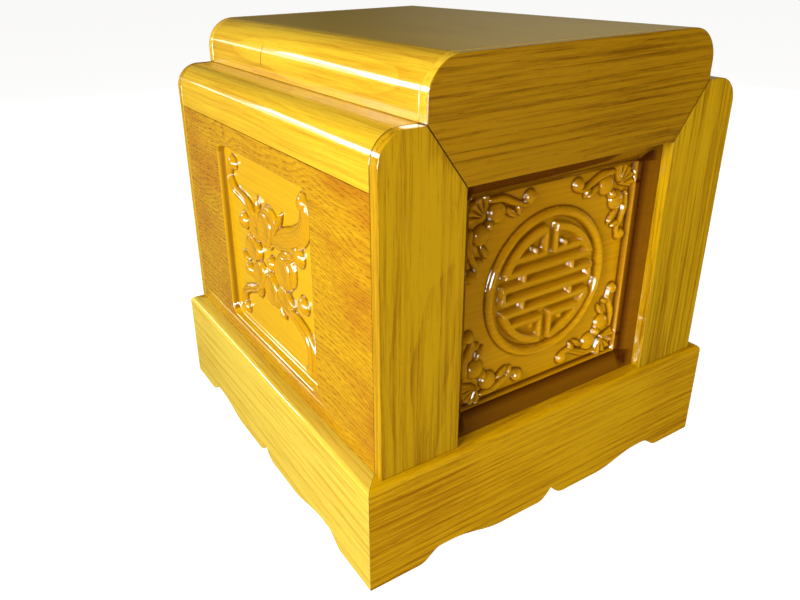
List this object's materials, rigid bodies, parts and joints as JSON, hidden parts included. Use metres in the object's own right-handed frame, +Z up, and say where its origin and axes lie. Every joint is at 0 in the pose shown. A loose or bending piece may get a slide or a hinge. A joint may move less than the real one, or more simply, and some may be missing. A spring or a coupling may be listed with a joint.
{
  "type": "cremation urn box",
  "caption": "Rectangular carved wooden urn box on a scalloped plinth, hollow inside, with corner posts and a rounded lid that lifts off.",
  "frame": {"origin": "on the floor under the centre of the box", "axes": "+Z up; the carved end with the corner sprays faces -Y; +X to its viewer's right; the longer side of the plinth's plan runs along Y"},
  "size_m": [0.432, 0.438, 0.449],
  "materials": {
    "plinth wood": "golden brown wood under high-gloss clear lacquer",
    "floor wood": "plain brown wood, thinly sealed",
    "post wood": "golden brown wood with upright grain under high-gloss clear lacquer",
    "shoulder wood": "bright yellow-brown wood under high-gloss clear lacquer",
    "lid wood": "bright yellow-brown wood under high-gloss clear lacquer",
    "lid end wood": "golden brown wood under high-gloss clear lacquer",
    "end panel wood": "carved golden wood with a dark-stained margin under high-gloss clear lacquer",
    "side board wood": "carved orange-brown wavy-figured wood under high-gloss clear lacquer"
  },
  "bodies": {
    "root": {"plinth_board_front": "plinth wood", "plinth_board_back": "plinth wood", "plinth_board_left": "plinth wood", "plinth_board_right": "plinth wood", "floor_board": "floor wood", "post_front_left": "post wood", "post_front_right": "post wood", "post_back_left": "post wood", "post_back_right": "post wood", "shoulder_rail_left": "shoulder wood", "shoulder_rail_right": "shoulder wood", "lid_shell": "lid wood", "lid_end_front": "lid end wood", "lid_end_back": "lid end wood", "end_board_front": "end panel wood", "end_board_back": "end panel wood", "side_board_left": "side board wood", "side_board_right": "side board wood"}
  },
  "joints": []
}
